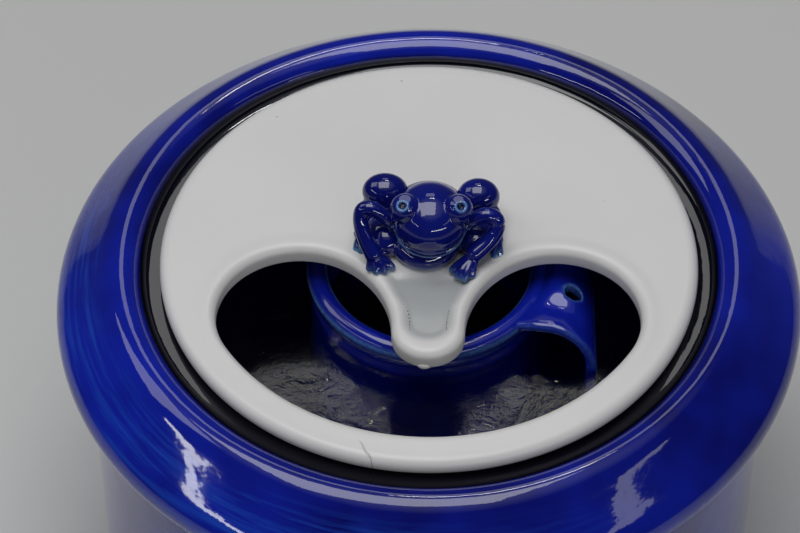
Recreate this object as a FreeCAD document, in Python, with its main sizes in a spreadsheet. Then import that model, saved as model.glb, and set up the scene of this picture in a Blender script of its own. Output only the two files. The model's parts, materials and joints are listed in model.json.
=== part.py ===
"""Pet water fountain: a glazed pot with a lift-off porcelain cover, a frog spout and a small pump.

Millimetres, +Z up. The origin is the centre of the pot's foot, and the drinking side faces -Y.
"""
import FreeCAD, Part
import Sketcher
import os
from FreeCAD import Matrix, Vector

doc = FreeCAD.newDocument("pet_water_fountain")
sheet = doc.addObject("Spreadsheet::Sheet", "Sheet")
sheet.Label = "Sizes"

# Driving sizes, each written once.
SIZES = [
    # shared clearances
    ("fit_clearance", 0.3),
    ("running_clearance", 0.05),
    ("cut_over", 1.0),
    # pot
    ("rim_top", 150.5),
    ("rim_reach", 120.6),
    ("rim_width", 21.6),
    ("rim_nose_round", 8.3),
    ("rim_nose_drop", 21.1),
    ("rim_slope", 46.0),
    ("rim_crest_round", 6.9),
    ("rim_overhang", 9.6),
    ("rim_underside", 2.0),
    ("pot_taper", 1.0),
    ("foot_round", 5.0),
    ("foot_ring_width", 26.0),
    ("foot_recess", 2.0),
    ("pot_wall", 6.5),
    ("pot_floor", 9.0),
    ("floor_round", 12.0),
    ("seat_width", 12.1),
    ("seat_thickness", 6.0),
    ("seat_slope", 14.0),
    ("cord_notch_width", 14.0),
    ("cord_notch_depth", 16.0),
    ("cord_notch_gap", 0.4),
    # pump well and its hood
    ("well_back", 11.2),
    ("well_gap", 3.8),
    ("well_wall", 7.1),
    ("well_height", 125.5),
    ("port_radius", 9.0),
    ("port_height", 16.0),
    ("hood_front", 16.8),
    ("hood_length", 31.0),
    ("hood_mouth_width", 11.6),
    ("hood_mouth_round", 13.5),
    ("hood_mouth_top", 132.8),
    ("hood_side", 6.5),
    ("hood_roof", 3.4),
    ("hood_flare", 3.0),
    ("hood_back", 4.0),
    ("hood_root", 1.0),
    ("hood_hole", 2.8),
    ("hood_hole_inset", 4.4),
    ("hood_hole_front", 3.0),
    # cover
    ("disc_gap", 6.1),
    ("disc_thickness", 6.4),
    ("disc_band", 12.0),
    ("lobe_radius", 26.2),
    ("lobe_angle", 31.3),
    ("lobe_turn", 128.0),
    ("tongue_half", 11.6),
    ("tongue_side_round", 34.0),
    ("tongue_neck", 31.0),
    ("edge_soft", 2.2),
    ("channel_depth", 1.6),
    ("channel_half", 8.6),
    ("channel_flare", 1.5),
    ("channel_back", 12.0),
    ("collar_wall", 4.0),
    ("collar_length", 12.0),
    ("water_hole", 4.0),
    # frog
    ("frog_half_width", 11.5),
    ("frog_half_length", 13.0),
    ("frog_belly_height", 8.5),
    ("frog_body_lift", 7.0),
    ("frog_back", 4.0),
    ("water_way_half", 4.0),
    ("water_way_height", 2.0),
    ("passage_height", 5.0),
    ("head_half_width", 11.8),
    ("head_half_length", 9.8),
    ("head_half_height", 8.0),
    ("head_lift", 15.5),
    ("head_back", 2.5),
    ("eye_radius", 4.7),
    ("eye_spread", 8.6),
    ("eye_lift", 21.0),
    ("eye_back", 1.0),
    ("pupil_radius", 1.5),
    ("pupil_depth", 1.2),
    ("arm_radius", 2.9),
    ("shoulder_spread", 10.5),
    ("shoulder_back", 3.0),
    ("shoulder_lift", 12.0),
    ("elbow_spread", 21.0),
    ("elbow_back", 4.5),
    ("elbow_lift", 15.5),
    ("wrist_spread", 16.5),
    ("wrist_front", 5.5),
    ("wrist_lift", 3.4),
    ("wrist_radius", 2.5),
    ("hand_spread", 14.5),
    ("hand_front", 9.0),
    ("knee_radius", 6.6),
    ("knee_spread", 15.2),
    ("knee_back", 16.0),
    ("knee_lift", 11.8),
    ("heel_radius", 3.6),
    ("heel_spread", 19.5),
    ("heel_back", 9.0),
    ("heel_lift", 4.0),
    ("ankle_radius", 2.0),
    ("ankle_spread", 21.5),
    ("ankle_back", 2.5),
    ("ankle_lift", 2.0),
    ("foot_spread", 22.5),
    ("foot_back", 1.0),
    ("toe_height", 2.2),
    ("toe_length", 5.4),
    ("toe_half_width", 4.3),
    ("toe_lift", 0.6),
    # strainer
    ("sucker_height", 6.0),
    ("sucker_radius", 6.0),
    ("sucker_top_radius", 3.6),
    ("sucker_spacing", 14.0),
    ("cage_gap", 0.25),
    ("cage_wall", 2.0),
    ("cage_height", 73.0),
    ("cage_base_thickness", 2.5),
    ("slot_width", 1.5),
    ("slot_length", 11.0),
    ("slot_depth", 40.0),
    ("slot_count", 36),
    ("cord_way_gap", 1.0),
    # pump
    ("pump_half_width", 18.0),
    ("pump_front", 8.0),
    ("pump_length", 23.0),
    ("pump_height", 44.0),
    ("axle_height", 18.5),
    ("rotor_bore", 6.5),
    ("rotor_bore_back", 3.0),
    ("rotor_clearance", 0.8),
    ("rotor_front_gap", 1.0),
    ("rotor_rear_gap", 1.5),
    ("shaft_radius", 1.0),
    ("shaft_socket", 1.0),
    ("bush_length", 2.5),
    ("volute_half_width", 15.0),
    ("volute_depth", 9.0),
    ("volute_web", 2.0),
    ("volute_wall", 3.0),
    ("chamber_radius", 11.0),
    ("inlet_radius", 1.8),
    ("inlet_circle", 6.0),
    ("inlet_count", 4),
    ("seal_gap", 1.0),
    ("seal_width", 1.4),
    ("seal_depth", 1.0),
    ("impeller_radius", 9.0),
    ("impeller_width", 4.4),
    ("plate_gap", 2.0),
    ("plate_thickness", 1.0),
    ("hub_wall", 2.0),
    ("blade_thickness", 1.2),
    ("blade_root", 0.5),
    ("blade_count", 6),
    ("regulator_radius", 9.0),
    ("regulator_thickness", 2.0),
    ("boss_radius", 2.0),
    ("boss_stand", 0.5),
    ("tab_half", 1.2),
    ("tab_root", 1.0),
    ("tab_length", 3.0),
    ("spout_radius", 4.0),
    ("spout_bore", 2.8),
    ("spout_height", 16.0),
    ("spout_flange", 6.0),
    ("flange_thickness", 2.0),
    ("riser_wall", 1.5),
    ("riser_gap", 1.0),
    ("motor_half_width", 14.0),
    ("motor_wall", 1.5),
    ("coil_half_width", 7.4),
    ("coil_length", 14.0),
    ("core_thickness", 6.0),
    ("core_waist", 3.0),
    ("cap_thickness", 2.0),
    ("cap_lift", 3.0),
    ("gland_radius", 4.0),
    ("gland_length", 5.0),
    ("gland_web", 1.0),
    ("cord_bore", 2.2),
]
for row, (alias, number) in enumerate(SIZES, start=1):
    sheet.set("A%d" % row, alias)
    sheet.set("B%d" % row, str(number))
    sheet.setAlias("B%d" % row, alias)
doc.recompute()

# Places that follow from the driving sizes, as expressions.
PLACES = {
    "nose_r": "($rim_reach - $rim_nose_round)",
    "nose_z": "($rim_top - $rim_nose_drop)",
    "crest_r": "($rim_reach - $rim_width)",
    "pot_r": "($rim_reach - $rim_overhang)",
    "foot_r": "($rim_reach - $rim_overhang - $pot_taper)",
    "seat_z": "($rim_top - $rim_crest_round)",
    "disc_z": "($rim_top - $rim_crest_round + $disc_thickness)",
    "throat_r": "($rim_reach - $rim_width - $rim_crest_round)",
    "cage_z": "($pot_floor + $sucker_height)",
    "pump_z": "($pot_floor + $sucker_height + $cage_base_thickness)",
    "pump_rear": "($pump_front + $pump_length)",
    "bore_depth": "($pump_length - $rotor_bore_back)",
    "volute_y": "($pump_front - $volute_depth)",
    "volute_reach": "($chamber_radius + $volute_wall)",
    "spout_y": "($pump_front - ($volute_depth - $volute_web) / 2)",
    "riser_r": "($spout_radius + $riser_wall)",
}
PLACES["seat_r"] = "(%(throat_r)s - $seat_width)" % PLACES
PLACES["disc_r"] = "(%(throat_r)s - $disc_gap)" % PLACES
PLACES["opening_r"] = "(%(disc_r)s - $disc_band)" % PLACES
PLACES["axle_z"] = "(%(pump_z)s + $axle_height)" % PLACES
PLACES["volute_top"] = "(%(axle_z)s + %(volute_reach)s)" % PLACES
PLACES["corner_r"] = "sqrt((%(pump_rear)s - $well_back)^2 + $pump_half_width^2)" % PLACES
PLACES["cage_r"] = "(%(corner_r)s + $cage_gap + $cage_wall)" % PLACES
PLACES["well_bore"] = "(%(cage_r)s + $well_gap)" % PLACES
PLACES["well_r"] = "(%(well_bore)s + $well_wall)" % PLACES
PLACES["mouth_right"] = "(%(well_r)s + $hood_mouth_width)" % PLACES


# Where the frog looks, for a step of 1 forward: outward and up.
EYE_TURN = 0.3
EYE_RISE = 0.6


def full(text):
    """Write a short formula, such as $rim_top - @seat_z, as an expression of the sheet."""
    for name in sorted(PLACES, key=len, reverse=True):
        text = text.replace("@" + name, PLACES[name])
    return text.replace("$", "<<Sizes>>.")


def size(text):
    """The number that a short formula gives."""
    return float(sheet.evalExpression(full(text)))


def origin_plane(body, role):
    for feature in body.Origin.OriginFeatures:
        if feature.Role == role:
            return feature
    raise ValueError(role)


def new_body(label, x="0", y="0", z="0"):
    body = doc.addObject("PartDesign::Body", label)
    body.Label = label
    for axis, text in (("x", x), ("y", y), ("z", z)):
        body.setExpression("Placement.Base." + axis, full(text))
    return body


def new_sketch(body, name, plane, offset="0"):
    sketch = body.newObject("Sketcher::SketchObject", name)
    sketch.AttachmentSupport = [(origin_plane(body, plane), "")]
    sketch.MapMode = "FlatFace"
    sketch.setExpression("AttachmentOffset.Base.z", full(offset))
    return sketch


def bind(sketch, kind, where, text):
    """Add one dimension whose value is the formula."""
    value = size(text)
    index = sketch.addConstraint(Sketcher.Constraint(kind, *where, value))
    sketch.setExpression("Constraints[%d]" % index, full(text))


def outline(sketch, corners):
    """Draw a closed outline of lines and arcs.

    A corner is (x, y) or (x, y, radius, side): the stretch that starts there is an arc of that radius,
    which turns left where side is 1 and right where it is -1.
    """
    count = len(corners)
    points = [Vector(size(corner[0]), size(corner[1]), 0) for corner in corners]
    ends = []
    for i, corner in enumerate(corners):
        start = points[i]
        stop = points[(i + 1) % count]
        if len(corner) == 2:
            sketch.addGeometry(Part.LineSegment(start, stop))
            ends.append((1, 2))
            continue
        radius = size(corner[2])
        chord = stop - start
        rise = max(radius ** 2 - (chord.Length / 2) ** 2, 0.0) ** 0.5
        left = Vector(-chord.y, chord.x, 0).normalize()
        centre = (start + stop) * 0.5 + left * rise * corner[3]
        circle = Part.Circle(centre, Vector(0, 0, 1), radius)
        first, last = (start, stop) if corner[3] > 0 else (stop, start)
        sketch.addGeometry(Part.ArcOfCircle(circle, circle.parameter(first), circle.parameter(last)))
        ends.append((1, 2) if corner[3] > 0 else (2, 1))
    for i in range(count):
        after = (i + 1) % count
        sketch.addConstraint(Sketcher.Constraint("Coincident", i, ends[i][1], after, ends[after][0]))
    for i, corner in enumerate(corners):
        here = (i, ends[i][0])
        for kind, text, axis in (("DistanceX", corner[0], -2), ("DistanceY", corner[1], -1)):
            if text == "0":
                sketch.addConstraint(Sketcher.Constraint("PointOnObject", *here, axis))
            else:
                bind(sketch, kind, (-1, 1) + here, text)
        if len(corner) == 4:
            bind(sketch, "Radius", (i,), corner[2])


def circle(sketch, x, y, radius):
    index = sketch.addGeometry(Part.Circle(Vector(size(x), size(y), 0), Vector(0, 0, 1), size(radius)))
    bind(sketch, "Radius", (index,), radius)
    for kind, text, axis in (("DistanceX", x, -2), ("DistanceY", y, -1)):
        if text == "0":
            sketch.addConstraint(Sketcher.Constraint("PointOnObject", index, 3, axis))
        else:
            bind(sketch, kind, (-1, 1, index, 3), text)


def rectangle(sketch, x_low, y_low, x_high, y_high):
    outline(sketch, [(x_low, y_low), (x_high, y_low), (x_high, y_high), (x_low, y_high)])


def revolve(body, name, corners):
    """Turn an outline in the XZ plane about the body's own Z axis."""
    sketch = new_sketch(body, name + "_outline", "XZ_Plane")
    outline(sketch, corners)
    turn = body.newObject("PartDesign::Revolution", name)
    turn.Profile = sketch
    turn.ReferenceAxis = (sketch, ["V_Axis"])
    turn.Angle = 360
    return turn


def pad(body, name, sketch, length, backwards=False):
    feature = body.newObject("PartDesign::Pad", name)
    feature.Profile = sketch
    feature.Reversed = backwards
    feature.setExpression("Length", full(length))
    return feature


def pocket(body, name, sketch, length, backwards=False):
    """Cut along the sketch's own normal reversed, or along the normal where backwards is set."""
    doc.recompute()
    before = body.Shape.Volume
    feature = body.newObject("PartDesign::Pocket", name)
    feature.Profile = sketch
    feature.Reversed = backwards
    feature.setExpression("Length", full(length))
    doc.recompute()
    if body.Shape.Volume >= before:
        raise ValueError(name + " cuts nothing")
    return feature


def polar(body, name, feature, axis_sketch, count):
    pattern = body.newObject("PartDesign::PolarPattern", name)
    pattern.Originals = [feature]
    pattern.Axis = (axis_sketch, ["N_Axis"])
    pattern.Angle = 360
    pattern.setExpression("Occurrences", full(count))
    body.Tip = pattern
    return pattern


def solid_piece(label, shape):
    """A sub-part with a shape of its own, already in place."""
    piece = doc.addObject("Part::Feature", label)
    piece.Label = label
    piece.Shape = shape
    return piece


def make_pot():
    """Thrown pot: foot ring, wall, floor, rolled rim and the inner seat for the cover."""
    body = new_body("pot_bowl")
    revolve(body, "pot_section", [
        ("0", "$foot_recess"),
        ("@foot_r - $foot_ring_width", "$foot_recess"),
        ("@foot_r - $foot_ring_width + $foot_recess", "0"),
        ("@foot_r - $foot_round", "0", "$foot_round", 1),
        ("@foot_r", "$foot_round"),
        ("@pot_r", "@nose_z - $rim_nose_round - $rim_underside"),
        ("@nose_r", "@nose_z - $rim_nose_round", "$rim_nose_round", 1),
        ("@nose_r + $rim_nose_round * cos($rim_slope)", "@nose_z + $rim_nose_round * sin($rim_slope)"),
        ("@crest_r + $rim_crest_round * cos($rim_slope)", "@seat_z + $rim_crest_round * sin($rim_slope)",
         "$rim_crest_round", 1),
        ("@throat_r", "@seat_z"),
        ("@seat_r", "@seat_z"),
        ("@seat_r", "@seat_z - $seat_thickness"),
        ("@pot_r - $pot_wall", "@seat_z - $seat_thickness - $seat_slope"),
        ("@foot_r - $pot_wall", "$pot_floor + $floor_round", "$floor_round", -1),
        ("@foot_r - $pot_wall - $floor_round", "$pot_floor"),
        ("0", "$pot_floor"),
    ])
    notch = new_sketch(body, "cord_notch_outline", "XY_Plane", "@seat_z + $cut_over")
    rectangle(notch, "-$cord_notch_width / 2", "@seat_r - $cut_over", "$cord_notch_width / 2",
              "@throat_r - $cord_notch_gap")
    pocket(body, "cord_notch", notch, "$cord_notch_depth")
    return body


def make_well():
    """Pump well: a thrown ring with a round lip that stands on the pot's floor, with a side port."""
    body = new_body("pump_well", "0", "$well_back", "$pot_floor")
    lip = "($well_wall / 2)"
    revolve(body, "well_section", [
        ("@well_bore", "0"),
        ("@well_r", "0"),
        ("@well_r", "$well_height - " + lip, lip, 1),
        ("@well_bore + " + lip, "$well_height", lip, 1),
        ("@well_bore", "$well_height - " + lip),
    ])
    port = new_sketch(body, "port_outline", "YZ_Plane", "@well_bore / 2")
    circle(port, "-$well_back", "$port_height", "$port_radius")
    pocket(body, "port", port, "@well_r", True)
    return body


def make_hood():
    """Arched hood over the well's port, open to the front and down to the floor."""
    body = new_body("intake_hood", "0", "0", "$pot_floor")
    right = "(@mouth_right + $hood_side)"
    top = "($hood_mouth_top + $hood_roof - $pot_floor)"
    inner = "(@well_bore + $hood_root)"
    outer = new_sketch(body, "hood_outline", "XZ_Plane", "$hood_front")
    outline(outer, [
        (inner, "0"),
        (right + " + $hood_flare", "0"),
        (right, top + " - $hood_mouth_round"),
        ("@mouth_right", top),
        (inner, top),
    ])
    pad(body, "hood_shell", outer, "$hood_length", True)
    mouth = new_sketch(body, "mouth_outline", "XZ_Plane", "$hood_front + $cut_over")
    outline(mouth, [
        ("@well_bore - $cut_over", "-$cut_over"),
        ("@mouth_right", "-$cut_over"),
        ("@mouth_right", "$hood_mouth_top - $hood_mouth_round - $pot_floor", "$hood_mouth_round", 1),
        ("@mouth_right - $hood_mouth_round", "$hood_mouth_top - $pot_floor"),
        ("@well_bore - $cut_over", "$hood_mouth_top - $pot_floor"),
    ])
    pocket(body, "hood_mouth", mouth, "$hood_length + $cut_over - $hood_back")
    hole = new_sketch(body, "air_hole_outline", "XY_Plane", top + " + $cut_over")
    circle(hole, "@mouth_right - $hood_hole_inset", "-$hood_hole_front", "$hood_hole")
    pocket(body, "air_hole", hole, "$hood_roof + $hood_mouth_round")
    seat = new_sketch(body, "well_side", "XY_Plane", top + " + $cut_over")
    circle(seat, "0", "$well_back", "@well_r")
    pocket(body, "well_face", seat, "$hood_mouth_top + $hood_roof + $cut_over")
    return body


def kidney(sketch):
    """Drinking opening: a front arc about the disc's centre, two round lobes and the tongue between them."""
    centre_x = "((@opening_r - $lobe_radius) * cos($lobe_angle))"
    centre_y = "(-(@opening_r - $lobe_radius) * sin($lobe_angle))"
    meet_x = "(@opening_r * cos($lobe_angle))"
    meet_y = "(-@opening_r * sin($lobe_angle))"
    side_x = "(" + centre_x + " + $lobe_radius * cos($lobe_turn))"
    side_y = "(" + centre_y + " + $lobe_radius * sin($lobe_turn))"
    outline(sketch, [
        ("-" + meet_x, meet_y, "@opening_r", 1),
        (meet_x, meet_y, "$lobe_radius", 1),
        (side_x, side_y, "$tongue_side_round", 1),
        ("$tongue_half", "-$tongue_neck", "$tongue_half", -1),
        ("0", "-$tongue_neck - $tongue_half", "$tongue_half", -1),
        ("-$tongue_half", "-$tongue_neck", "$tongue_side_round", 1),
        ("-" + side_x, side_y, "$lobe_radius", 1),
    ])


def make_disc():
    """Porcelain cover disc with the drinking opening, the tongue's channel and the water hole."""
    body = new_body("cover_disc", "0", "0", "@seat_z")
    half = "($disc_thickness / 2)"
    revolve(body, "disc_section", [
        ("0", "0"),
        ("@disc_r - " + half, "0", half, 1),
        ("@disc_r", half, half, 1),
        ("@disc_r - " + half, "$disc_thickness"),
        ("0", "$disc_thickness"),
    ])
    opening = new_sketch(body, "kidney_outline", "XY_Plane", "$disc_thickness")
    kidney(opening)
    cut = pocket(body, "drinking_opening", opening, "$disc_thickness")
    top = cut.Shape.BoundBox.ZMax
    reach = size("@opening_r + $edge_soft")
    slack = size("$running_clearance")
    rim = []
    for number, edge in enumerate(cut.Shape.Edges, start=1):
        box = edge.BoundBox
        level = abs(box.ZMin - top) < slack and abs(box.ZMax - top) < slack
        if level and max(-box.XMin, box.XMax, -box.YMin, box.YMax) < reach:
            rim.append("Edge%d" % number)
    soft = body.newObject("PartDesign::Fillet", "opening_edge")
    soft.Base = (cut, rim)
    soft.setExpression("Radius", full("$edge_soft"))
    doc.recompute()
    channel = new_sketch(body, "channel_outline", "XY_Plane", "$disc_thickness")
    outline(channel, [
        ("-$channel_half - 1.5", "-$channel_back"),
        ("$channel_half + $channel_flare", "-$channel_back"),
        ("$channel_half", "-$tongue_neck", "$channel_half", -1),
        ("0", "-$tongue_neck - $channel_half", "$channel_half", -1),
        ("-$channel_half", "-$tongue_neck"),
    ])
    pocket(body, "tongue_channel", channel, "$channel_depth")
    hole = new_sketch(body, "water_hole_outline", "XY_Plane", "$disc_thickness")
    circle(hole, "0", "@spout_y", "$water_hole")
    pocket(body, "water_hole", hole, "$disc_thickness")
    return body


def make_collar():
    """Collar under the disc that the riser tube enters."""
    bore = "(@riser_r + $fit_clearance)"
    body = new_body("outlet_collar", "0", "@spout_y", "@seat_z - $collar_length")
    revolve(body, "collar_section", [
        (bore, "0"),
        (bore + " + $collar_wall", "0"),
        (bore + " + $collar_wall", "$collar_length"),
        (bore, "$collar_length"),
    ])
    return body


def ellipsoid(centre, half):
    """A sphere of radius 1 stretched to three half sizes."""
    grow = Matrix()
    grow.scale(half[0], half[1], half[2])
    shape = Part.makeSphere(1).transformGeometry(grow)
    shape.translate(Vector(*centre))
    return shape


def limb(points, radii):
    """Round-ended cones joined in a chain: a ball at each point and a cone between two."""
    shape = Part.makeSphere(radii[0], Vector(*points[0]))
    for i in range(1, len(points)):
        start = Vector(*points[i - 1])
        stop = Vector(*points[i])
        run = stop - start
        if abs(radii[i] - radii[i - 1]) < 1e-6:
            bone = Part.makeCylinder(radii[i], run.Length, start, run)
        else:
            bone = Part.makeCone(radii[i - 1], radii[i], run.Length, start, run)
        shape = shape.fuse([bone, Part.makeSphere(radii[i], stop)])
    return shape.removeSplitter()


def largest(shape):
    """The largest solid of a cut, without slivers."""
    return max(shape.Solids, key=lambda solid: solid.Volume)


def spot(side, name, forward=False):
    """Place of a frog's joint: its spread, how far back or forward it is, and its height over the disc."""
    depth = size("-$%s_front" % name) if forward else size("$%s_back" % name)
    return side * size("$%s_spread" % name), depth, size("@disc_z + $%s_lift" % name)


def make_frog():
    """Frog over the water hole: body, head, eyes, arms, hands, hind legs and feet, joined by glaze."""
    top = size("@disc_z")
    reach = size("@disc_r")
    over = size("$cut_over")
    deck = Part.makeBox(2 * reach, 2 * reach, reach, Vector(-reach, -reach, top - reach))
    body = ellipsoid((0, size("$frog_back"), top + size("$frog_body_lift")),
                     (size("$frog_half_width"), size("$frog_half_length"), size("$frog_belly_height")))
    passage = Part.makeCylinder(size("$water_hole"), size("$passage_height") + over,
                                Vector(0, size("@spout_y"), top - over))
    half = size("$water_way_half")
    front = size("$frog_half_length")
    way = Part.makeBox(2 * half, front + size("@spout_y"), size("$water_way_height") + over,
                       Vector(-half, -front, top - over))
    body = largest(body.cut(deck).cut(passage).cut(way))
    head = ellipsoid((0, size("$head_back"), top + size("$head_lift")),
                     (size("$head_half_width"), size("$head_half_length"), size("$head_half_height")))
    head = largest(head.cut(body))
    done = [deck, body, head]
    solid_piece("frog_body", body)
    solid_piece("frog_head", head)

    def add(label, shapes):
        pieces = []
        for shape in shapes:
            for other in done:
                shape = shape.cut(other)
            shape = largest(shape)
            pieces.append(shape)
            done.append(shape)
        solid_piece(label, pieces[0] if len(pieces) == 1 else Part.makeCompound(pieces))

    sides = {"right": 1, "left": -1}
    eyes = []
    for side in sides.values():
        centre = Vector(*spot(side, "eye"))
        look = Vector(side * EYE_TURN, -1, EYE_RISE).normalize()
        depth = size("$pupil_depth")
        bottom = centre + look * (size("$eye_radius") - depth)
        pupil = Part.makeCylinder(size("$pupil_radius"), 2 * depth, bottom, look)
        eyes.append(Part.makeSphere(size("$eye_radius"), centre).cut(pupil))
    add("frog_eyes", eyes)
    for word, side in sides.items():
        leg = limb([spot(side, "knee"), spot(side, "heel"), spot(side, "ankle")],
                   [size("$knee_radius"), size("$heel_radius"), size("$ankle_radius")])
        add("frog_hind_leg_" + word, [leg])
    for word, side in sides.items():
        arm = limb([spot(side, "shoulder"), spot(side, "elbow"), spot(side, "wrist", True)],
                   [size("$arm_radius"), size("$arm_radius"), size("$wrist_radius")])
        add("frog_arm_" + word, [arm])
    toes = (size("$toe_half_width"), size("$toe_length"), size("$toe_height"))
    lift = top + size("$toe_lift")
    hands = []
    feet = []
    for side in sides.values():
        hands.append(ellipsoid((side * size("$hand_spread"), -size("$hand_front"), lift), toes))
        feet.append(ellipsoid((side * size("$foot_spread"), size("$foot_back"), lift), toes))
    add("frog_hands", hands)
    add("frog_feet", feet)


def make_cage():
    """Strainer round the pump: a base tray and a slotted lid."""
    base = new_body("strainer_base", "0", "$well_back", "@cage_z")
    revolve(base, "tray_section", [
        ("0", "0"),
        ("@cage_r", "0"),
        ("@cage_r", "$cage_base_thickness"),
        ("0", "$cage_base_thickness"),
    ])
    lid = new_body("strainer_lid", "0", "$well_back", "@pump_z")
    height = "($cage_height - $cage_base_thickness)"
    revolve(lid, "lid_section", [
        ("@cage_r - $cage_wall", "0"),
        ("@cage_r", "0"),
        ("@cage_r", height + " - $cage_wall", "$cage_wall", 1),
        ("@cage_r - $cage_wall", height),
        ("0", height),
        ("0", height + " - $cage_wall"),
        ("@cage_r - $cage_wall", height + " - $cage_wall"),
    ])
    hole = new_sketch(lid, "riser_hole_outline", "XY_Plane", height)
    circle(hole, "0", "@spout_y - $well_back", "@riser_r + $fit_clearance")
    pocket(lid, "riser_hole", hole, "$cage_wall + $cut_over")
    axis = new_sketch(lid, "slot_outline", "XY_Plane", height)
    rectangle(axis, "-$slot_width / 2", "@cage_r - $slot_length", "$slot_width / 2",
              "@cage_r + $cut_over")
    slot = pocket(lid, "slot", axis, "$slot_depth")
    polar(lid, "slots", slot, axis, "$slot_count")
    doc.recompute()
    notch = new_sketch(lid, "cord_way_outline", "XZ_Plane")
    rectangle(notch, "-$gland_radius - $cord_way_gap", "$axle_height - $gland_radius - $cord_way_gap",
              "$gland_radius + $cord_way_gap", "$axle_height + $gland_radius + $cord_way_gap")
    pocket(lid, "cord_way", notch, "@cage_r + $cut_over")
    return base, lid


def make_suckers():
    """Four suction cups between the strainer and the pot's floor."""
    cups = []
    reach = size("$sucker_spacing")
    for x in (-reach, reach):
        for y in (-reach, reach):
            place = Vector(x, y + size("$well_back"), size("$pot_floor"))
            cups.append(Part.makeCone(size("$sucker_radius"), size("$sucker_top_radius"),
                                      size("$sucker_height"), place))
    solid_piece("suction_cups", Part.makeCompound(cups))


def motor_profile(sketch, gap):
    """The motor's U shape round the rotor bore, smaller by the gap all round."""
    low = "($axle_height - $rotor_bore + " + gap + ")"
    arch = "($axle_height + $rotor_bore + $motor_wall + " + gap + ")"
    leg = "($rotor_bore + $motor_wall + " + gap + ")"
    wide = "($motor_half_width - " + gap + ")"
    roof = "($pump_height - $motor_wall * 2 - " + gap + ")"
    outline(sketch, [
        ("-" + wide, low), ("-" + leg, low), ("-" + leg, arch), (leg, arch), (leg, low), (wide, low),
        (wide, roof), ("-" + wide, roof),
    ])


def make_motor():
    """Sealed motor: housing, laminated core, coil, rear cap and the cord's gland."""
    housing = new_body("pump_housing", "0", "@pump_rear", "@pump_z")
    block = new_sketch(housing, "block_outline", "XZ_Plane")
    rectangle(block, "-$pump_half_width", "0", "$pump_half_width", "$pump_height")
    pad(housing, "block", block, "$pump_length")
    room = new_sketch(housing, "motor_room_outline", "XZ_Plane")
    motor_profile(room, "0")
    pocket(housing, "motor_room", room, "$coil_length + $fit_clearance", True)
    relief = new_sketch(housing, "riser_relief_outline", "XY_Plane", "$pump_height")
    circle(relief, "0", "@spout_y - @pump_rear", "$spout_flange + $fit_clearance")
    pocket(housing, "riser_relief", relief, "$pump_height - $axle_height - @volute_reach")
    return housing


def make_core():
    core = new_body("motor_core", "0", "@pump_rear - ($coil_length - $core_thickness) / 2", "@pump_z")
    shape = new_sketch(core, "core_outline", "XZ_Plane")
    motor_profile(shape, "$fit_clearance")
    pad(core, "laminations", shape, "$core_thickness")
    top = "($pump_height - $motor_wall * 2 - $fit_clearance)"
    low = "($axle_height + $rotor_bore + $motor_wall + $fit_clearance)"
    waist = new_sketch(core, "waist_outline", "XZ_Plane")
    rectangle(waist, "-$coil_half_width", low + " - $cut_over", "$coil_half_width", low + " + $core_waist")
    pocket(core, "waist_low", waist, "$core_thickness", True)
    crown = new_sketch(core, "crown_outline", "XZ_Plane")
    rectangle(crown, "-$coil_half_width", top + " - $core_waist", "$coil_half_width", top + " + $cut_over")
    pocket(core, "waist_high", crown, "$core_thickness", True)
    coil = new_body("motor_coil", "0", "@pump_rear", "@pump_z")
    winding = new_sketch(coil, "coil_outline", "XZ_Plane")
    rectangle(winding, "-$coil_half_width", low, "$coil_half_width", top)
    pad(coil, "winding", winding, "$coil_length")
    limb_way = new_sketch(coil, "limb_outline", "YZ_Plane", "-$coil_half_width - $cut_over")
    rectangle(limb_way, "-($coil_length + $core_thickness) / 2", low + " + $core_waist",
              "-($coil_length - $core_thickness) / 2", top + " - $core_waist")
    pocket(coil, "limb_way", limb_way, "($coil_half_width + $cut_over) * 2", True)
    return core, coil


def make_rear_cap():
    cap = new_body("rear_cap", "0", "@pump_rear", "@pump_z")
    plate = new_sketch(cap, "plate_outline", "XZ_Plane")
    rectangle(plate, "-$motor_half_width", "$cap_lift", "$motor_half_width", "$pump_height - $motor_wall")
    pad(cap, "plate", plate, "$cap_thickness", True)
    gland = new_body("cord_gland", "0", "@pump_rear + $cap_thickness", "@pump_z")
    ring = new_sketch(gland, "gland_outline", "XZ_Plane")
    circle(ring, "0", "$axle_height", "$gland_radius")
    pad(gland, "gland", ring, "$gland_length", True)
    bore = new_sketch(gland, "gland_bore_outline", "XZ_Plane", "-$gland_length")
    circle(bore, "0", "$axle_height", "$cord_bore")
    pocket(gland, "gland_bore", bore, "$gland_length - $gland_web", True)
    return cap, gland


def turned(label, y, corners):
    """A turned piece whose axis is the pump's own: corners are (radius, distance from y towards the rear)."""
    body = new_body(label, "0", y, "@axle_z")
    sketch = new_sketch(body, label + "_outline", "XY_Plane")
    outline(sketch, corners)
    turn = body.newObject("PartDesign::Revolution", label + "_turn")
    turn.Profile = sketch
    turn.ReferenceAxis = (sketch, ["V_Axis"])
    turn.Angle = 360
    return body


def make_rotor_bore(housing):
    """Blind bore in the housing's front face for the rotor."""
    bore = new_sketch(housing, "rotor_bore_outline", "XZ_Plane", "$pump_length")
    circle(bore, "0", "$axle_height", "$rotor_bore")
    pocket(housing, "rotor_bore", bore, "@bore_depth")


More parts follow.
